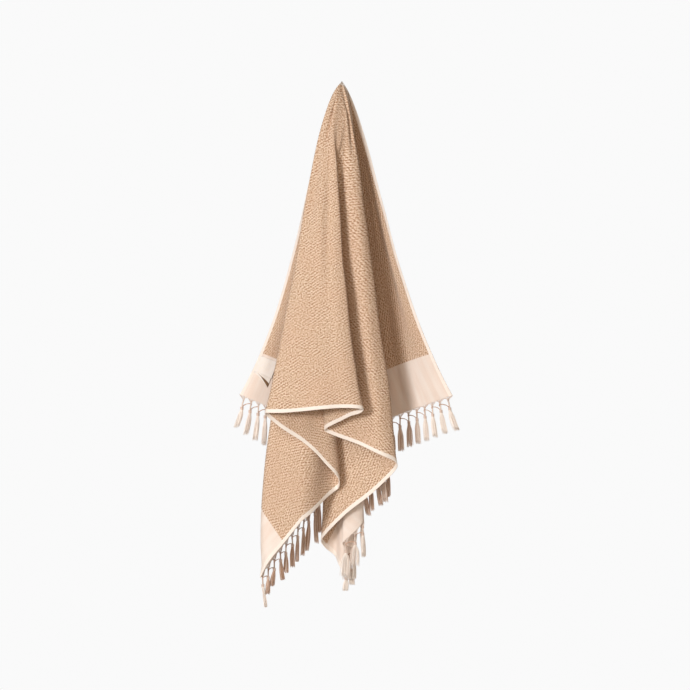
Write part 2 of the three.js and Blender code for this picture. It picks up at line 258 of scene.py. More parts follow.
def fold_tangent(i, other, place, begun, turn):
    """Which way the cloth runs at fold line i, on the side of its neighbour."""
    if i in (0, len(FOLDS) - 1):
        return (place[other] - place[i]) * (1 if other > i else -1)
    span = FOLD_ANGLE[i + 1] - FOLD_ANGLE[i - 1]
    k = abs(FOLD_ANGLE[other] - FOLD_ANGLE[i]) / span
    turned = 0.0 if TURN_X[i] == 0 and TURN_Y[i] == 0 else begun[i]
    return (place[i + 1] - place[i - 1]) * k * (1 - turned) + turn[i] * turned


def hang_row(share, ats):
    """Where the line out to each edge place hangs, at a share of its length, in mm."""
    place, begun, turn = fold_places(share)
    u = np.linspace(0, 1, MID_STEPS + 1)[:, None]
    angle = flat_angle(ats)
    way = np.zeros((len(ats), 2))
    stretch = np.zeros(len(ats))
    for i in range(len(FOLDS) - 1):
        leaves = fold_tangent(i, i + 1, place, begun, turn)
        meets = fold_tangent(i + 1, i, place, begun, turn)
        curve = (
            place[i] * (2 * u**3 - 3 * u**2 + 1)
            + leaves * (u**3 - 2 * u**2 + u)
            + place[i + 1] * (3 * u**2 - 2 * u**3)
            + meets * (u**3 - u**2)
        )
        run = np.concatenate([[0], np.cumsum(np.hypot(*np.diff(curve, axis=0).T))])
        here = (ats >= FOLD_AT[i]) & (ats <= FOLD_AT[i + 1])
        k = (angle[here] - FOLD_ANGLE[i]) / (FOLD_ANGLE[i + 1] - FOLD_ANGLE[i])
        way[here, 0] = np.interp(k * run[-1], run, curve[:, 0])
        way[here, 1] = np.interp(k * run[-1], run, curve[:, 1])
        stretch[here] = STRETCH[i] * (1 - k) + STRETCH[i + 1] * k
    length = share * np.hypot(*flat_edge(ats)) * stretch
    over = np.maximum(np.hypot(*way.T) / NECK_LIMIT, 1.0)
    x, y = length * way[:, 0] / over, length * way[:, 1] / over
    return np.stack([x, y, -np.sqrt(np.maximum(length**2 - x * x - y * y, 0))], 1)


def edge_places(step, least):
    """Places round the edge, closer together at the folds."""
    ats = []
    for a, b in zip(FOLD_AT[:-1], FOLD_AT[1:]):
        count = max(least, round((b - a) / step))
        u = np.arange(count) / count
        ats.extend(a + (b - a) * (u - 0.1 * np.sin(2 * np.pi * u)))
    return np.array(ats + [EDGE_LENGTH])


def grid_normals(points):
    """The way that the front face looks, at each point of the grid."""
    along = np.gradient(points, axis=1)
    down = np.gradient(points, axis=0)
    normal = np.cross(down, along)
    return normal / np.maximum(np.linalg.norm(normal, axis=2, keepdims=True), 1e-9)


def soften_neck(points, ats, shares):
    """Near the hanging point the front folds run into each other without a hard line."""
    near = (1 - smooth(shares, *NECK_SOFT))[:, None]
    front = smooth(ats, 1440, 1600) * (1 - smooth(ats, 1900, 2010))
    apart = (ats[:, None] - ats[None, :]) / NECK_REACH
    reach = np.exp(-(apart**2)) * np.gradient(ats)[None, :]
    reach /= reach.sum(axis=1, keepdims=True)
    even = np.einsum("ij,rjk->rik", reach, points)
    share = (near * front[None, :])[:, :, None]
    return points * (1 - share) + even * share


# ---- the relief of the hanging cloth ----
FAN_RIPPLES = 26
FAN_RADIUS = 520  # where the ripples of the fan have their stated length, in mm
WIDE_WAVES = 10


def crease_relief(across, down):
    """The creases and ridges of the table above."""
    total = np.zeros_like(across)
    for (s0, t0), (s1, t1), wide0, wide1, height in CREASES:
        way = np.array([s1 - s0, t1 - t0], float)
        k = ((across - s0) * way[0] + (down - t0) * way[1]) / (way @ way)
        off = np.abs((across - s0) * way[1] - (down - t0) * way[0]) / np.hypot(*way)
        wide = wide0 + (wide1 - wide0) * np.clip(k, 0, 1)
        fade = smooth(k, -0.15, 0.3) * (1 - smooth(k, 0.7, 1.15))
        total += height * fade * np.exp(-((off / wide) ** 2))
    return total


def ripple_relief(across, down, height):
    """Soft ripples that follow the lines from the hanging point, stronger away from the neck."""
    rng = np.random.default_rng(SEED)
    radius = np.hypot(across, down)
    angle = np.arctan2(across, down)
    total = np.zeros_like(across)
    for _ in range(FAN_RIPPLES):
        length = rng.uniform(34, 95)
        turns = 2 * np.pi * FAN_RADIUS / length
        middle, reach = rng.uniform(150, 1050), rng.uniform(140, 320)
        window = np.exp(-(((radius - middle) / reach) ** 2))
        slant = rng.normal(0, 0.004)
        total += window * np.sin(turns * angle + slant * radius + rng.uniform(0, 2 * np.pi))
    for _ in range(WIDE_WAVES):
        length = rng.uniform(110, 240)
        way = rng.uniform(0, 2 * np.pi)
        total += 0.5 * np.sin(
            2 * np.pi / length * (across * np.cos(way) + down * np.sin(way))
            + rng.uniform(0, 2 * np.pi)
        )
    return total * height * smooth(radius, 40, 330) / 2.2


def hem_relief(across, down, height):
    """The wave of the free lower selvedge and of the two ends."""
    wave = np.sin(across / 17.0 + 1.2 * np.sin(across / 61.0)) * smooth(down, 735, 800)
    ends = np.sin(down / 21.0 + 0.8 * np.sin(down / 47.0)) * smooth(np.abs(across), 700, 800)
    return height * (wave + 0.5 * ends)


def hem_lift(ats, shares):
    """How much shorter each line out to the edge hangs near it, as a share of its length."""
    lift = sum(h * np.exp(-(((ats - at) / wide) ** 2)) for at, wide, h in HEM_LIFTS)
    return np.outer(smooth(shares, 0.80, 1.0), lift / (WIDTH * 1.1))


# ---- meshes ----
def mesh_from(name, points, faces, smooth_faces=True):
    """A mesh from points in mm and the faces between them."""
    mesh = bpy.data.meshes.new(name)
    mesh.from_pydata((np.asarray(points) * MM).tolist(), [], faces)
    mesh.validate()
    mesh.update()
    if smooth_faces:
        mesh.polygons.foreach_set("use_smooth", [True] * len(mesh.polygons))
    return mesh


def quads(a, b, c, d):
    return np.stack([a, b, c, d], -1).reshape(-1, 4)


def sheet_faces(front, back):
    """Both faces of a sheet, its two sides and its lower edge, from two grids of points."""
    faces = [
        quads(front[:-1, :-1], front[1:, :-1], front[1:, 1:], front[:-1, 1:]),
        quads(back[:-1, :-1], back[:-1, 1:], back[1:, 1:], back[1:, :-1]),
        quads(front[:-1, 0], back[:-1, 0], back[1:, 0], front[1:, 0]),
        quads(front[:-1, -1], front[1:, -1], back[1:, -1], back[:-1, -1]),
        quads(front[-1, :-1], back[-1, :-1], back[-1, 1:], front[-1, 1:]),
    ]
    return np.concatenate(faces).tolist()


def add_uv(mesh, name, places):
    """A UV layer made from one place for each point of the mesh."""
    corner = np.zeros(len(mesh.loops), np.int32)
    mesh.loops.foreach_get("vertex_index", corner)
    layer = mesh.uv_layers.new(name=name, do_init=False)
    layer.uv.foreach_set("vector", np.asarray(places, np.float32)[corner].ravel())


def add_piece(name, mesh, nodes, material):
    """Put a mesh in the scene in place of the plain solids it stands for."""
    old = bpy.data.objects.get(name)
    if old is not None and "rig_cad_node" not in old:
        raise RuntimeError(f"{name} is there already")
    piece = bpy.data.objects.new(name, mesh)
    bpy.context.scene.collection.objects.link(piece)
    mesh.materials.append(material)
    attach(piece, "root")
    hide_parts(*nodes)
    return piece


# ---- the cloth ----
COLUMN_STEP = 8.2  # spacing of the columns round the edge, in mm
LEAST_COLUMNS = 11  # the fewest between two folds
ROWS = 104
ROW_CROWDING = 1.25  # above 1, rows lie closer near the hanging point
FIRST_ROW = 0.012
HEM_GAP = 11.0
HEM_ROWS = (7.5, 5.0, 2.6, 1.0)  # extra rows, in mm from the free edge
HEM_WAVE = 1.6  # height of the wave at the hems over that of the ripples
TIP_TOP = 2.4
TIP_UNDER = -1.2


class Cloth:
    """The hanging cloth's middle surface, in mm, with its relief."""

    def __init__(self, sizes):
        self.ats = edge_places(COLUMN_STEP, LEAST_COLUMNS)
        u = np.arange(1, ROWS + 1) / ROWS
        shares = u**ROW_CROWDING
        shares = shares[(shares > FIRST_ROW) & (shares < 1 - HEM_GAP / WIDTH)]
        shares = np.concatenate([shares, [1 - h / WIDTH for h in HEM_ROWS], [1.0]])
        self.shares = shares
        base = np.stack([hang_row(f, self.ats) for f in shares])
        across, down = flat_edge(self.ats)
        self.across = np.outer(shares, across)
        self.down = np.outer(shares, down)
        base = soften_neck(base, self.ats, shares)
        base *= 1 - hem_lift(self.ats, shares)[:, :, None]
        self.normals = grid_normals(base)
        ripple = sizes.ripple / MM
        relief = (
            crease_relief(self.across, self.down)
            + ripple_relief(self.across, self.down, ripple)
            + hem_relief(self.across, self.down, HEM_WAVE * ripple)
        )
        self.points = base + self.normals * relief[:, :, None]
        self.normals = grid_normals(self.points)

    def at(self, across, down):
        """The point and the normal at flat places."""
        across, down = np.atleast_1d(across).astype(float), np.atleast_1d(down).astype(float)
        share = np.maximum(np.abs(across) / HALF_LENGTH, down / WIDTH)
        side = np.abs(across) / HALF_LENGTH >= down / WIDTH
        place = np.where(
            side,
            np.where(across < 0, down / share, EDGE_LENGTH - down / share),
            across / share + HALF_LENGTH + WIDTH,
        )
        j = np.clip(np.searchsorted(self.shares, share) - 1, 0, len(self.shares) - 2)
        i = np.clip(np.searchsorted(self.ats, place) - 1, 0, len(self.ats) - 2)
        v = np.clip((share - self.shares[j]) / (self.shares[j + 1] - self.shares[j]), 0, 1)[:, None]
        u = np.clip((place - self.ats[i]) / (self.ats[i + 1] - self.ats[i]), 0, 1)[:, None]

        def blend(grid):
            upper = grid[j, i] * (1 - u) + grid[j, i + 1] * u
            lower = grid[j + 1, i] * (1 - u) + grid[j + 1, i + 1] * u
            return upper * (1 - v) + lower * v

        normal = blend(self.normals)
        return blend(self.points), normal / np.linalg.norm(normal, axis=1, keepdims=True)


def half_thickness(cloth, sizes):
    """Thicker at the selvedges, rounded off at the free edges and thinner where it gathers."""
    selvedge = sizes.selvedge / MM
    ground, edge = sizes.thickness / MM / 2, sizes.edge_thickness / MM / 2
    from_edge = np.minimum(cloth.down, WIDTH - cloth.down)
    from_end = HALF_LENGTH - np.abs(cloth.across)
    from_tip = np.hypot(cloth.across, cloth.down)
    in_selvedge = 1 - smooth(from_edge, 0.6 * selvedge, 1.2 * selvedge)
    below_tip = smooth(from_tip**2, 0, 120**2)
    rounding = np.sqrt(smooth(np.minimum(from_edge, from_end), -0.5, 1.2))
    half = (ground + (edge - ground) * in_selvedge * below_tip) * np.maximum(rounding, 0.55)
    return half * (0.6 + 0.4 * smooth(from_tip, 30, 220))


def cloth_mesh(cloth, sizes):
    """Both faces of the cloth, joined round the edge and closed at the hanging point."""
    rows, cols = cloth.across.shape
    half = half_thickness(cloth, sizes)[:, :, None]
    front = cloth.points + cloth.normals * half
    back = cloth.points - cloth.normals * half
    tips = [[0, 0, TIP_TOP], [0, 0, TIP_UNDER]]
    points = np.concatenate([front.reshape(-1, 3), back.reshape(-1, 3), tips])
    index = np.arange(rows * cols).reshape(rows, cols)
    under = index + rows * cols
    above_tip, below_tip = 2 * rows * cols, 2 * rows * cols + 1
    faces = sheet_faces(index, under)
    for i in range(cols - 1):
        faces.append([above_tip, index[0, i], index[0, i + 1]])
        faces.append([below_tip, under[0, i + 1], under[0, i]])
    faces.append([above_tip, below_tip, under[0, 0], index[0, 0]])
    faces.append([above_tip, index[0, -1], under[0, -1], below_tip])
    mesh = mesh_from("towel_cloth_woven", points, faces)
    flat = np.stack([cloth.across, cloth.down], -1).reshape(-1, 2)
    flat = np.concatenate([flat, flat, [[0, 0], [0, 0]]]) * MM
    side = np.repeat([0.0, 1.0, 0.0, 1.0], [rows * cols, rows * cols, 1, 1])
    add_uv(mesh, "Flat", flat)
    # the front face fills the lower half of the bake sheet and the back face the upper half
    sheet = np.stack(
        [
            0.5 + 0.5 * flat[:, 0] / (HALF_LENGTH * MM),
            0.5 * side + (0.01 + 0.48 * flat[:, 1] / (WIDTH * MM)),
        ],
        1,
    )
    add_uv(mesh, "OFBake", 0.004 + 0.992 * sheet)
    mesh.uv_layers.active = mesh.uv_layers["Flat"]
    return mesh


# ---- yarns ----
DOWN = np.array([0, 0, -1.0])
OUTWARD = np.array([1.0, 0, 0])
ASKEW = [0.31, 0.83, 0.12]  # no yarn runs this way


class Yarns:
    """Gathers tubes of yarn into one mesh. Each vertex keeps its place along and round its yarn."""

    def __init__(self):
        self.points, self.faces, self.marks = [], [], []
        self.count = 0

    def tube(self, path, radius, sides=5, tone_and_painted_shade=0.5):
        """One closed yarn along a path, with one radius or one for each point."""
        path = np.asarray(path, float)
        n = len(path)
        radius = np.broadcast_to(np.asarray(radius, float), (n,))
        way = np.gradient(path, axis=0)
        way /= np.maximum(np.linalg.norm(way, axis=1, keepdims=True), 1e-9)
        side = np.cross(way[0], ASKEW)
        side /= np.linalg.norm(side)
        run = np.concatenate([[0], np.cumsum(np.linalg.norm(np.diff(path, axis=0), axis=1))])
        turn = 2 * np.pi * np.arange(sides) / sides
        for k in range(n):
            side = side - way[k] * (side @ way[k])
            side /= np.linalg.norm(side)
            other = np.cross(way[k], side)
            ring = np.outer(np.cos(turn), side) + np.outer(np.sin(turn), other)
            self.points.append(path[k] + ring * radius[k])
            marks = [np.full(sides, run[k]), np.arange(sides) / sides, np.full(sides, tone_and_painted_shade)]
            self.marks.append(np.stack(marks, 1))
        start = self.count + np.arange(n - 1)[:, None] * sides
        a, b = start + np.arange(sides), start + (np.arange(sides) + 1) % sides
        self.faces.extend(np.stack([a, b, b + sides, a + sides], -1).reshape(-1, 4).tolist())
        self.faces.append([self.count + k for k in range(sides)][::-1])
        self.faces.append([self.count + (n - 1) * sides + k for k in range(sides)])
        self.count += n * sides

    def mesh(self, name):
        mesh = mesh_from(name, np.concatenate(self.points), self.faces)
        marks = np.concatenate(self.marks)
        add_uv(mesh, "Yarn", marks[:, :2] * [MM, 1])
        # each yarn's value mixes its own tone with painted shade from where it hangs
        tone_and_painted_shade = mesh.attributes.new("tone_and_painted_shade", "FLOAT", "POINT")
        tone_and_painted_shade.data.foreach_set("value", marks[:, 2].astype(np.float32))
        return mesh


def bend(points, steps):
    """A smooth path through points."""
    points = np.asarray(points, float)
    k = np.linspace(0, len(points) - 1, steps)
    i = np.clip(k.astype(int), 0, len(points) - 2)
    u = (k - i)[:, None]
    before = points[np.maximum(i - 1, 0)]
    after = points[np.minimum(i + 2, len(points) - 1)]
    a, b = points[i], points[i + 1]
    return 0.5 * (
        2 * a
        + (b - before) * u
        + (2 * before - 5 * a + 4 * b - after) * u**2
        + (3 * a - before - 3 * b + after) * u**3
    )


# ---- the fringes ----
THREADS = 11  # of a bundle, where it leaves the cloth
STRANDS = 26  # of a tassel
LINKS = 5
THREAD_THIN, LINK_THIN = 0.36, 0.5  # half their thickness over that of a strand
GATHER = ((4.6, 0.42), (9.0, 0.08))  # mm below the cloth, and the share of spread left there
EVEN_TURN = 2.39996  # turns of this angle fill a round bundle evenly
KNOT_TURNS = 4
KNOT_RISE = 1.7
KNOT_RADIUS = (3.3, 2.6)  # along the end of the cloth and out from it
KNOT_YARN = 1.05
LEAN = 15.0  # how far the outermost tassels lean outward, in mm

# For tassels counted down each end, -1 for the left end and 1 for the right one: how long the
# shorter ones are, as a share of the rest, and how far some swing sideways, in mm.
SHORTER = {
    -1: {
        0: 0.72, 1: 0.84, 2: 0.94, 25: 0.9, 26: 0.85, 27: 0.78,
        28: 0.66, 29: 0.7, 30: 0.62, 31: 0.62, 32: 0.8,
    },
    1: {29: 0.9, 30: 0.78, 31: 0.64, 32: 0.52},
}
SWINGS = {
    -1: {20: -6.0, 23: 5.0, 24: -8.0, 25: -7.0, 27: 5.0, 28: -3.0, 29: 6.0, 30: -2.0, 32: 3.0},
    1: {12: 4.0, 14: 5.0, 15: 4.0, 17: 3.0, 18: 9.0, 19: 3.0, 20: 10.0, 24: -4.0, 25: 3.0},
}


def end_places(cloth, side, downs, pitch):
    """Where the bundles of one end leave the cloth: place, way along the end, way out, spacing."""
    places = []
    for down in downs:
        here, _ = cloth.at(side * HALF_LENGTH, down)
        near, _ = cloth.at([side * HALF_LENGTH] * 2, [down - 6, down + 6])
        along = near[1] - near[0]
        along[2] = 0
        wide = np.linalg.norm(along) / 12 * pitch
        along = along / max(np.linalg.norm(along), 1e-6)
        places.append((here[0], along, np.cross(along, DOWN), wide))
    return places


def gathered_threads(yarns, cloth, side, down, place, knot_at, sizes, rng):
    """The threads of one bundle, drawn together just below the cloth."""
    root, along, out, _ = place
    pitch = WIDTH / sizes.tassels
    thin = sizes.strand / MM * THREAD_THIN
    middle = (THREADS - 1) // 2
    for i in range(THREADS):
        o = (i - middle) / middle * 0.47 * pitch
        start, _ = cloth.at(side * HALF_LENGTH, np.clip(down + o, 0.5, WIDTH - 0.5))
        shift = thin * 2.2 * (along * math.cos(i * 2.4) + out * math.sin(i * 2.4))
        spread = along * ((start[0] - root) @ along)
        path = [start[0] - DOWN * 1.5, start[0] + DOWN * 0.8]
        path += [root + DOWN * drop + spread * left + shift for drop, left in GATHER]
        path += [root * 0.4 + knot_at * 0.6 + shift, knot_at + shift]
        yarns.tube(bend(path, 9), thin, 4, rng.uniform(0.3, 0.9))


def link(yarns, place, last, last_knot, sizes, rng):
    """The threads that cross from one bundle to the knot of the bundle above it."""
    root, _, out, _ = place
    _, _, last_out, _ = last
    thin = sizes.strand / MM * LINK_THIN
    for _ in range(LINKS):
        o, p = rng.uniform(-1.0, 1.0), rng.uniform(-0.9, 0.9)
        start = root + DOWN * (11 + o) + out * (1.3 + p)
        end = last_knot - DOWN * (2.5 + o) + last_out * (1.0 + p)
        middle = start * 0.45 + end * 0.55 - DOWN * (2.6 + rng.uniform(0, 1))
        # the crossing threads take darker tones: painted shade between the bundles
        yarns.tube(bend([start + DOWN * 4, start, middle, end], 11), thin, 4, rng.uniform(0, 0.4))


def knot(yarns, knot_at, along, out):
    """A few turns of yarn round the bundle."""
    angle = np.linspace(0, 2 * np.pi, 11)
    for turn in range(KNOT_TURNS):
        ring = (
            knot_at
            + DOWN * (turn * KNOT_RISE - 2.6)
            + np.outer(np.cos(angle), along) * KNOT_RADIUS[0]
            + np.outer(np.sin(angle), out) * KNOT_RADIUS[1]
            + np.outer(np.linspace(0, 1.5, 11), DOWN)
        )
        yarns.tube(ring, KNOT_YARN, 5, 0.5)


def tassel(yarns, knot_at, along, out, width, length, lean, tone_and_painted_shade, loose, sizes, rng):
    """Loose strands below a knot, spread and cut to about one length."""
    strand = sizes.strand / MM / 2
    drift = rng.normal(0, loose, 2)
    for i in range(STRANDS):
        r = math.sqrt((i + 0.5) / STRANDS)
        a = i * EVEN_TURN
        top = np.array([math.cos(a), math.sin(a)]) * r * 2.5
        low = np.array([math.cos(a) * width, math.sin(a) * min(4.2, 0.7 * width)]) * r
        end = length * rng.uniform(0.92, 1.02)
        sway = rng.normal(0, 0.5 * loose, 2) + drift
        path = []
        for u in (0, 0.1, 0.22, 0.4, 0.7, 1.0):
            swell = smooth(np.array(u), 0, 0.38)
            place = top * (1 - swell) + low * (0.86 + 0.14 * u) * swell
            place = place + sway * u * (1 - 0.3 * u)
            at = knot_at + DOWN * (1.5 + end * u) + along * place[0] + out * place[1]
            path.append(at + OUTWARD * lean * u * (0.6 + 0.4 * u))
        radius = strand * np.array([0.85, 1, 1.1, 1.1, 1.1, 1.1, 1, 0.6])
        yarns.tube(bend(path, 8), radius, 5, tone_and_painted_shade + rng.uniform(-0.3, 0.3))


def tassel_look(side, k, down, wide, sizes):
    """Half width, tone and looseness of a tassel, from where it hangs on its end; the tone by place
    is painted shade.
    """
    usual = sizes.tassel_width / MM
    width = min(usual, 0.72 * wide) / 2
    near, low = smooth(down, 60, 170), smooth(down, 480, 640)
    # painted shade: tassels darken from the top of each end toward the folds, grow light again low
    # on the right end and darker still low on the left end
    tone_and_painted_shade = 0.95 - 0.5 * near + (0.5 if side > 0 else -0.15) * low
    loose = 1.4 if side > 0 else 1.4 + 1.8 * low
    if side < 0 and k == sizes.tassels - 1:
        return 0.6 * width, tone_and_painted_shade + 0.6, loose
    if side > 0 and k > sizes.tassels - 7:
        return max(1.6 * width, 0.46 * usual), tone_and_painted_shade, loose
    return width, tone_and_painted_shade, loose


def fringe_yarns(cloth, side, sizes):
    """One end's knotted yarns: gathered bundles, links, knots and tassels."""
    rng = np.random.default_rng(SEED + (3 if side > 0 else 5))
    yarns = Yarns()
    pitch = WIDTH / sizes.tassels
    drop = sizes.knot_drop / MM
    total = (sizes.fringe if side < 0 else sizes.fringe_right) / MM
    downs = (np.arange(sizes.tassels) + 0.5) * pitch
    places = end_places(cloth, side, downs, pitch)
    last_knot = None
    for k, place in enumerate(places):
        root, along, out, wide = place
        lean = side * LEAN * math.exp(-k / 2.4) + SWINGS[side].get(k, 0.0)
        knot_at = root + DOWN * (drop + rng.uniform(-1.5, 1.5)) + along * rng.uniform(-0.8, 0.8)
        knot_at = knot_at + OUTWARD * lean * 0.25
        gathered_threads(yarns, cloth, side, downs[k], place, knot_at, sizes, rng)
        if k > 0 and wide > 9:
            link(yarns, place, places[k - 1], last_knot, sizes, rng)
        knot(yarns, knot_at, along, out)
        length = (total - drop + rng.uniform(-5, 4)) * SHORTER[side].get(k, 1.0)
        width, tone_and_painted_shade, loose = tassel_look(side, k, downs[k], wide, sizes)
        tassel(yarns, knot_at, along, out, width, length, lean, tone_and_painted_shade, loose, sizes, rng)
        last_knot = knot_at
    return yarns


# ---- the label ----
# Its places on the flat towel in mm: from and to along the towel, near and far down the end, and
# where the under leaf ends, with how far that end droops.
LABEL = {"from": 694.0, "to": 736.0, "near": 5.0, "far": 68.0, "leaf": 738.0, "droop": 22.0}
LABEL_CLEAR, LEAF_APART, LEAF_LIFT = 0.35, 0.55, 5.0
LEAF_HALF = 0.18  # half the thickness of a leaf
LEAF_BOW = 1.4


def label_mesh(cloth, sizes):
    """A bare folded label: its under leaf lies on the band, its upper leaf lifts at the edge."""
    points, faces, flats = [], [], []

    def leaf(start, end, droop, gap, lift, rows, cols):
        """A thin closed strip that stands off the cloth by a gap, and more where it lifts."""
        first = len(points)
        v = np.linspace(0, 1, rows)
        u = np.linspace(0, 1, cols)
        for down_v in v:
            across = start + (end + droop * u**LEAF_BOW - start) * down_v
            down = LABEL["near"] + (LABEL["far"] - LABEL["near"]) * u
            middle, normal = cloth.at(-across, down)
            raised = gap + lift * down_v**2.2 * (0.12 + 0.88 * u**1.6)
            for h in (LEAF_HALF, -LEAF_HALF):
                points.extend(middle + normal * (raised + h)[:, None])
                flats.extend(np.stack([across, down], 1))
        upper = first + 2 * cols * np.arange(rows)[:, None] + np.arange(cols)
        lower = upper + cols
        faces.extend(sheet_faces(upper, lower))
        faces.extend(quads(upper[0, :-1], upper[0, 1:], lower[0, 1:], lower[0, :-1]).tolist())

    under = sizes.thickness / MM / 2 + LABEL_CLEAR
    leaf(LABEL["from"], LABEL["leaf"], LABEL["droop"], under, 0.0, 12, 16)
    leaf(LABEL["from"], LABEL["to"], 0.0, under + LEAF_APART, LEAF_LIFT, 14, 18)
    mesh = mesh_from("label_leaves", points, faces)
    add_uv(mesh, "Flat", np.array(flats) * MM)
    return mesh


# ---- materials ----
FULL_TURN = 2 * math.pi
WARP_PITCH = 0.0013
WEFT_PITCH = 0.0015
PLY_PITCH = 0.0045
RIB_PITCH = 0.0007
BLUR = 0.0006  # half the width over which one weave gives way to the next
# The rows of floats lean the other way outside the stripe between these places along the towel.
STRIPE = ((-0.37, -0.31), (0.15, 0.09))
RISING = (0.62, 1.0)  # the share of each lean, outside and inside the stripe
FALLING = (1.0, 0.55)
FLOATS, FUZZ, SPECKLE = 0.31, 0.4, 3.1  # how far each moves the weave from light to dark
PATCH = (212, 172, 146)
BAND_STREAK = (234, 215, 202)
# the dark end of the yarn's tones, for darker strands and for the fringe's painted shade
YARN_SHADE = (192, 150, 122)
TAPE_CLOUD = (240, 228, 214)
# painted shade inside the label's fold and along its cut end
TAPE_PAINTED_SHADE = (120, 92, 66)


class Shader:
    """Adds nodes to one material."""

    def __init__(self, name, roughness, sheen=0.0):
        self.material = bpy.data.materials.new(name)
        self.material.use_nodes = True
        self.tree = self.material.node_tree
        self.skin = self.tree.nodes["Principled BSDF"]
        self.skin.inputs["Roughness"].default_value = roughness
        self.skin.inputs["Specular IOR Level"].default_value = 0.25
        self.skin.inputs["Sheen Weight"].default_value = sheen
        self.skin.inputs["Sheen Roughness"].default_value = 0.6

    def node(self, kind, **settings):
        node = self.tree.nodes.new(kind)
        for key, value in settings.items():
            setattr(node, key, value)
        return node

    def feed(self, socket, value):
        if isinstance(value, bpy.types.NodeSocket):
            self.tree.links.new(value, socket)
        elif value is not None:
            socket.default_value = value

    def math(self, kind, a, b=None, c=None):
        node = self.node("ShaderNodeMath", operation=kind)
        for socket, value in zip(node.inputs, (a, b, c)):
            self.feed(socket, value)
        return node.outputs[0]

    def split(self, place):
        node = self.node("ShaderNodeSeparateXYZ")
        self.feed(node.inputs[0], place)
        return node.outputs[0], node.outputs[1]

    def step(self, value, low, high, out_low=0.0, out_high=1.0):
        """From out_low to out_high, smoothly, as value runs from low to high."""
        node = self.node("ShaderNodeMapRange", interpolation_type="SMOOTHSTEP")
        for key, part in zip(node.inputs, (value, low, high, out_low, out_high)):
            self.feed(key, part)
        return node.outputs[0]

    def mix(self, share, a, b, kind="MIX"):
        node = self.node("ShaderNodeMix", data_type="RGBA", blend_type=kind)
        for socket, value in zip((node.inputs[0], node.inputs[6], node.inputs[7]), (share, a, b)):
            self.feed(socket, value)
        return node.outputs[2]

    def noise(self, place, scale, detail=2.0, stretch=None):
        if stretch is not None:
            node = self.node("ShaderNodeVectorMath", operation="MULTIPLY")
            self.feed(node.inputs[0], place)
            node.inputs[1].default_value = stretch
            place = node.outputs[0]
        node = self.node("ShaderNodeTexNoise", noise_dimensions="3D")
        self.feed(node.inputs["Vector"], place)
        node.inputs["Scale"].default_value = scale
        node.inputs["Detail"].default_value = detail
        return node.outputs["Fac"]

    def bump(self, height, strength, distance, over=None):
        node = self.node("ShaderNodeBump")
        node.inputs["Strength"].default_value = strength
        node.inputs["Distance"].default_value = distance
        self.feed(node.inputs["Height"], height)
        if over is not None:
            self.tree.links.new(over, node.inputs["Normal"])
        return node.outputs[0]


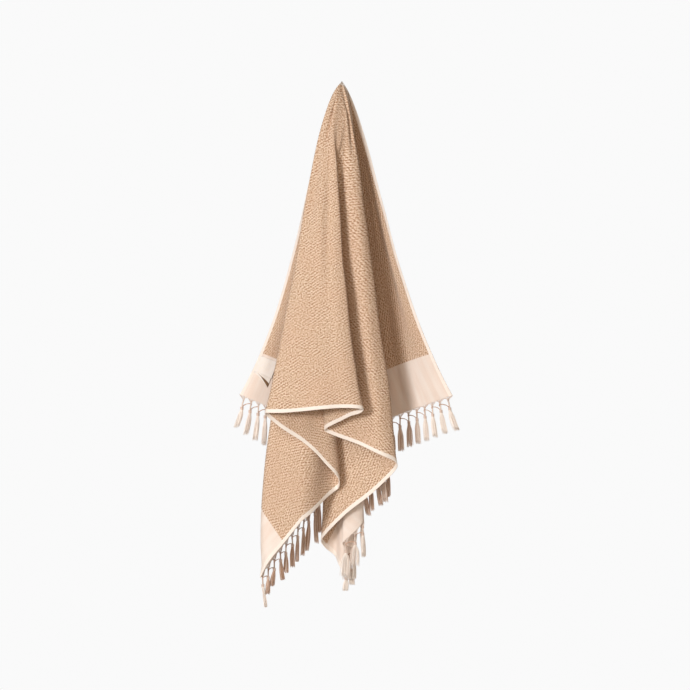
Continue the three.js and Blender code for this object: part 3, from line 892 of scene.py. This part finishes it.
def woven_cotton(sizes, colours):
    """Tan ground with pale floats in staggered rows, a plain band at each end, white selvedges."""
    m = Shader("woven_cotton", 0.95, 0.12)
    flat = m.node("ShaderNodeUVMap", uv_map="Flat").outputs[0]
    across, down = m.split(flat)
    wander = m.noise(flat, 38.0, 3.0)
    fuzz = m.noise(flat, 900.0, 1.0)
    speckle = m.noise(flat, 310.0, 2.0)
    patch = m.noise(flat, 9.0, 2.0)
    clear = m.step(m.noise(flat, 24.0, 1.0), 0.38, 0.62, 0.25, 1.0)

    # the rows of floats lean one way or the other in broad stripes
    u = m.math("DIVIDE", across, sizes.weave_across)
    v = m.math("DIVIDE", down, sizes.weave_down)
    u = m.math("ADD", u, m.math("MULTIPLY", wander, 0.55))
    v = m.math("ADD", v, m.math("MULTIPLY", wander, 0.40))
    rising = m.math("COSINE", m.math("MULTIPLY", m.math("ADD", u, v), FULL_TURN))
    falling = m.math("COSINE", m.math("MULTIPLY", m.math("SUBTRACT", u, v), FULL_TURN))
    lean = m.math("MULTIPLY", m.step(across, *STRIPE[0]), m.step(across, *STRIPE[1]))
    rising = m.math("MULTIPLY", rising, m.step(lean, 0.0, 1.0, *RISING))
    falling = m.math("MULTIPLY", falling, m.step(lean, 0.0, 1.0, *FALLING))
    weave = m.math("MULTIPLY", m.math("ADD", rising, falling), clear)
    weave = m.math("MULTIPLY_ADD", weave, FLOATS, 0.5)
    weave = m.math("ADD", weave, m.math("MULTIPLY_ADD", fuzz, FUZZ, -FUZZ / 2))
    weave = m.math("ADD", weave, m.math("MULTIPLY_ADD", speckle, SPECKLE, -SPECKLE / 2))

    # single threads
    warp = m.math("SINE", m.math("MULTIPLY", down, FULL_TURN / WARP_PITCH))
    weft = m.math("SINE", m.math("MULTIPLY", across, FULL_TURN / WEFT_PITCH))
    threads = m.math("MULTIPLY", warp, weft)

    # the plain bands and the selvedges
    ragged = m.math("MULTIPLY_ADD", m.noise(flat, 700.0, 0.0, (0.1, 1.0, 1.0)), 0.003, -0.0015)
    inward = m.math("SUBTRACT", HALF_LENGTH * MM, m.math("ABSOLUTE", across))
    in_band = m.step(m.math("ADD", inward, ragged), sizes.band + BLUR, sizes.band - BLUR)
    from_middle = m.math("ABSOLUTE", m.math("SUBTRACT", down, WIDTH * MM / 2))
    from_edge = m.math("SUBTRACT", WIDTH * MM / 2, from_middle)
    in_edge = m.step(from_edge, sizes.selvedge + BLUR, sizes.selvedge - BLUR)

    ground = m.mix(m.step(weave, 0.45, 1.0), tuple(colours.ground), tuple(colours.light_float))
    ground = m.mix(m.step(weave, 0.5, 0.0), ground, tuple(colours.dark_gap))
    ground = m.mix(m.step(patch, 0.35, 0.7, 0.0, 0.22), ground, srgb(*PATCH))
    stripe = m.noise(flat, 60.0, 1.0, (0.15, 1.0, 1.0))
    band = m.mix(m.step(stripe, 0.3, 0.7, 0.0, 0.7), tuple(colours.band), srgb(*BAND_STREAK))
    cotton = m.mix(in_band, ground, band)
    cotton = m.mix(in_edge, cotton, tuple(colours.selvedge))
    speck = m.step(fuzz, 0.3, 0.7, 0.93, 1.03)
    tint = m.node("ShaderNodeCombineColor")
    for socket in tint.inputs[:3]:
        m.feed(socket, speck)
    m.feed(m.skin.inputs["Base Color"], m.mix(1.0, cotton, tint.outputs[0], "MULTIPLY"))

    plain = m.math("MAXIMUM", in_band, in_edge)
    relief = m.math("MULTIPLY", weave, m.math("SUBTRACT", 1.0, plain))
    coarse = m.bump(relief, 0.45, 0.0010)
    fine = m.bump(m.math("ADD", threads, m.math("MULTIPLY", fuzz, 1.2)), 0.35, 0.0002, coarse)
    m.feed(m.skin.inputs["Normal"], fine)
    return m.material


def fringe_yarn(colours):
    """Soft plied yarn, each strand a little lighter or darker, with painted shade from where its
    tassel hangs.
    """
    m = Shader("fringe_yarn", 0.95, 0.15)
    place = m.node("ShaderNodeUVMap", uv_map="Yarn").outputs[0]
    along, round_yarn = m.split(place)
    # the attribute holds each yarn's own tone together with the painted shade of its place
    tone_and_painted_shade = m.node("ShaderNodeAttribute", attribute_name="tone_and_painted_shade").outputs["Fac"]
    ply = m.math("MULTIPLY_ADD", along, FULL_TURN / PLY_PITCH, 0.5)
    ply = m.math("ADD", ply, m.math("MULTIPLY", round_yarn, FULL_TURN))
    twist = m.math("SINE", m.math("MULTIPLY", ply, 2.0))
    shade = m.math("ADD", m.math("MULTIPLY", tone_and_painted_shade, 0.75), m.math("MULTIPLY", twist, 0.12))
    colour = m.mix(m.step(shade, 0.0, 0.75), srgb(*YARN_SHADE), tuple(colours.yarn))
    m.feed(m.skin.inputs["Base Color"], colour)
    m.feed(m.skin.inputs["Normal"], m.bump(twist, 0.4, 0.0003))
    return m.material


def label_tape(colours):
    """Smooth bare tape with fine ribs, with painted shade inside its fold and a painted shadow line
    at its cut end.
    """
    m = Shader("label_tape", 0.8, 0.05)
    place = m.node("ShaderNodeUVMap", uv_map="Flat").outputs[0]
    across, down = m.split(place)
    ribs = m.math("SINE", m.math("MULTIPLY", down, FULL_TURN / RIB_PITCH))
    cloudy = m.noise(place, 120.0, 2.0)
    colour = m.mix(m.step(cloudy, 0.35, 0.7, 0.0, 0.3), tuple(colours.label), srgb(*TAPE_CLOUD))

    # painted shade inside the fold, in a wedge that widens toward the far end, and a painted shadow
    # line at the cut end
    along = m.math("POWER", m.math("DIVIDE", down, LABEL["far"] * MM), LEAF_BOW)
    bow = m.math("MULTIPLY_ADD", along, LABEL["droop"] * MM, (LABEL["leaf"] - 5.2) * MM)
    deep = m.math("MULTIPLY_ADD", m.step(down, 0.026, 0.066), 0.0040, 0.0003)
    painted_fold_shade = m.math("ABSOLUTE", m.math("SUBTRACT", across, bow))
    painted_fold_shade = m.step(m.math("SUBTRACT", painted_fold_shade, deep), 0.0009, -0.0005)
    painted_fold_shade = m.math("MULTIPLY", painted_fold_shade, m.step(down, 0.018, 0.030))
    # painted shadow: a thin dark line along the cut end
    edge = m.step(down, (LABEL["far"] - 2.2) * MM, (LABEL["far"] - 1.4) * MM)
    shade = m.math("MAXIMUM", painted_fold_shade, m.math("MULTIPLY", edge, 0.7))
    colour = m.mix(shade, colour, srgb(*TAPE_PAINTED_SHADE))
    m.feed(m.skin.inputs["Base Color"], colour)
    m.feed(m.skin.inputs["Normal"], m.bump(ribs, 0.3, 0.00012))
    return m.material


# ---- the stage ----
BACKGROUND = (0.955, 0.955, 0.955, 1)
WHITE = (1.0, 1.0, 1.0)
WARM = (1.0, 0.84, 0.68)
AIM = Vector((0.0, 0.0, -0.62))
# Each lamp's name, place, size, power in watts and colour.
LAMPS = (
    ("key_lamp", (-1.95, -3.76, -0.1), 1.0, 112.0, WHITE),
    ("high_lamp", (-1.7, -3.1, 1.9), 1.4, 38.0, WHITE),
    ("fill_lamp", (0.1, -4.2, -0.4), 1.6, 34.0, WARM),
    ("back_lamp", (1.5, 3.2, 1.2), 2.2, 115.0, WHITE),
)
AMBIENT = (1.0, 0.76, 0.54, 1)
AMBIENT_STRENGTH = 0.19
FLOOR_DROP = 1.72  # from the hanging point down to the floor
FLOOR_RADIUS = 1.45
SENSOR = 36.0
CAMERA_BACK = 14.0
CAMERA_MIDDLE = (0.0073, -0.6417)
VIEW_HEIGHT = 1.6836  # what the camera takes in at the towel


def make_floor(colours):
    """A round pale floor that fades into the surroundings at its rim."""
    points, faces = [(0.0, 0.0, 0.0)], []
    rings, parts = 8, 48
    for ring in range(1, rings + 1):
        for part in range(parts):
            turn = FULL_TURN * part / parts
            r = FLOOR_RADIUS / MM * ring / rings
            points.append((r * math.cos(turn), r * math.sin(turn), 0.0))
    for part in range(parts):
        after = (part + 1) % parts
        faces.append([0, 1 + part, 1 + after])
        for ring in range(rings - 1):
            a, b = 1 + ring * parts, 1 + (ring + 1) * parts
            faces.append([a + part, b + part, b + after, a + after])
    mesh = mesh_from("pale_floor", points, faces, False)
    m = Shader("pale_floor", 0.9)
    m.skin.inputs["Base Color"].default_value = tuple(colours.floor)
    glow = m.node("ShaderNodeEmission")
    glow.inputs["Color"].default_value = BACKGROUND
    place = m.node("ShaderNodeNewGeometry").outputs["Position"]
    flat = m.node("ShaderNodeVectorMath", operation="MULTIPLY")
    m.feed(flat.inputs[0], place)
    flat.inputs[1].default_value = (1, 1, 0)
    far = m.node("ShaderNodeVectorMath", operation="LENGTH")
    m.feed(far.inputs[0], flat.outputs[0])
    rim = m.step(far.outputs["Value"], 0.55 * FLOOR_RADIUS, 0.98 * FLOOR_RADIUS)
    seen = m.node("ShaderNodeLightPath").outputs["Is Camera Ray"]
    blend = m.node("ShaderNodeMixShader")
    m.feed(blend.inputs[0], m.math("MULTIPLY", rim, seen))
    m.feed(blend.inputs[1], m.skin.outputs[0])
    m.feed(blend.inputs[2], glow.outputs[0])
    m.feed(m.tree.nodes["Material Output"].inputs[0], blend.outputs[0])
    mesh.materials.append(m.material)
    floor = bpy.data.objects.new("pale_floor", mesh)
    floor.location = (0, 0, -FLOOR_DROP)
    bpy.context.scene.collection.objects.link(floor)


def make_surroundings(scene):
    """Even soft light all round, pale where the camera sees it."""
    world = bpy.data.worlds.new("soft_surroundings")
    scene.world = world
    world.use_nodes = True
    tree = world.node_tree
    light = tree.nodes["Background"]
    light.inputs["Color"].default_value = AMBIENT
    light.inputs["Strength"].default_value = AMBIENT_STRENGTH
    seen = tree.nodes.new("ShaderNodeBackground")
    seen.inputs["Color"].default_value = BACKGROUND
    path = tree.nodes.new("ShaderNodeLightPath")
    blend = tree.nodes.new("ShaderNodeMixShader")
    tree.links.new(path.outputs["Is Camera Ray"], blend.inputs[0])
    tree.links.new(light.outputs[0], blend.inputs[1])
    tree.links.new(seen.outputs[0], blend.inputs[2])
    tree.links.new(blend.outputs[0], tree.nodes["World Output"].inputs[0])


def add_lamp(name, place, size, power, colour):
    """A round lamp that looks at the middle of the towel."""
    lamp = bpy.data.lights.new(name, "AREA")
    lamp.color = colour
    lamp.shape = "DISK"
    lamp.size = size
    lamp.energy = power
    held = bpy.data.objects.new(name, lamp)
    held.location = place
    held.rotation_euler = (AIM - Vector(place)).to_track_quat("-Z", "Y").to_euler()
    bpy.context.scene.collection.objects.link(held)


def make_camera(scene):
    """A level camera straight in front, far enough off to see the towel almost flat on."""
    camera = bpy.data.cameras.new("front_camera")
    camera.sensor_width = SENSOR
    camera.lens = SENSOR * CAMERA_BACK / VIEW_HEIGHT
    camera.clip_end = 100.0
    held = bpy.data.objects.new("front_camera", camera)
    held.location = (CAMERA_MIDDLE[0], -CAMERA_BACK, CAMERA_MIDDLE[1])
    held.rotation_euler = (math.pi / 2, 0, 0)
    scene.collection.objects.link(held)
    scene.camera = held
    scene.view_settings.view_transform = "Standard"


# ---- operators ----
class TOWEL_OT_cloth(Operator):
    """Make the woven cloth in its hanging folds"""

    bl_idname = "towel.cloth"
    bl_label = "Woven cloth"

    def execute(self, context):
        sizes, colours = context.scene.towel_sizes, context.scene.towel_colours
        mesh = cloth_mesh(Cloth(sizes), sizes)
        cotton = woven_cotton(sizes, colours)
        add_piece("woven_towel", mesh, ["towel_cloth"], cotton)
        return {"FINISHED"}


class TOWEL_OT_fringes(Operator):
    """Make the knotted fringe on each end"""

    bl_idname = "towel.fringes"
    bl_label = "Fringes"

    def execute(self, context):
        sizes = context.scene.towel_sizes
        cloth = Cloth(sizes)
        yarn = fringe_yarn(context.scene.towel_colours)
        for side, name in ((-1, "left"), (1, "right")):
            mesh = fringe_yarns(cloth, side, sizes).mesh(f"{name}_yarns")
            add_piece(f"knotted_fringe_{name}", mesh, [f"fringe_{name}"], yarn)
        return {"FINISHED"}


class TOWEL_OT_label(Operator):
    """Make the bare label on the left band"""

    bl_idname = "towel.label"
    bl_label = "Label"

    def execute(self, context):
        sizes = context.scene.towel_sizes
        mesh = label_mesh(Cloth(sizes), sizes)
        tape = label_tape(context.scene.towel_colours)
        add_piece("bare_label", mesh, ["label"], tape)
        return {"FINISHED"}


class TOWEL_OT_stage(Operator):
    """Make the floor, the lamps, the surroundings and the camera"""

    bl_idname = "towel.stage"
    bl_label = "Stage"

    def execute(self, context):
        scene = context.scene
        make_floor(scene.towel_colours)
        make_surroundings(scene)
        for lamp in LAMPS:
            add_lamp(*lamp)
        make_camera(scene)
        return {"FINISHED"}


# ---- the add-on ----
class TOWEL_PT_panel(Panel):
    """The towel's sizes, colours and steps"""

    bl_idname = "TOWEL_PT_panel"
    bl_label = "Hanging towel"
    bl_space_type = "VIEW_3D"
    bl_region_type = "UI"
    bl_category = "Towel"

    def draw(self, context):
        scene = context.scene
        for group in (scene.towel_sizes, scene.towel_colours):
            box = self.layout.box()
            for key in group.__annotations__:
                box.prop(group, key)
        for step in STEPS:
            self.layout.operator(step.bl_idname)


STEPS = (TOWEL_OT_cloth, TOWEL_OT_fringes, TOWEL_OT_label, TOWEL_OT_stage)
CLASSES = (TowelSizes, TowelColours, *STEPS, TOWEL_PT_panel)


def register():
    for each in CLASSES:
        bpy.utils.register_class(each)
    bpy.types.Scene.towel_sizes = PointerProperty(type=TowelSizes)
    bpy.types.Scene.towel_colours = PointerProperty(type=TowelColours)


def unregister():
    del bpy.types.Scene.towel_colours
    del bpy.types.Scene.towel_sizes
    for each in reversed(CLASSES):
        bpy.utils.unregister_class(each)


def main():
    register()
    bpy.ops.towel.cloth()
    bpy.ops.towel.fringes()
    bpy.ops.towel.label()
    bpy.ops.towel.stage()


if __name__ == "__main__":
    main()
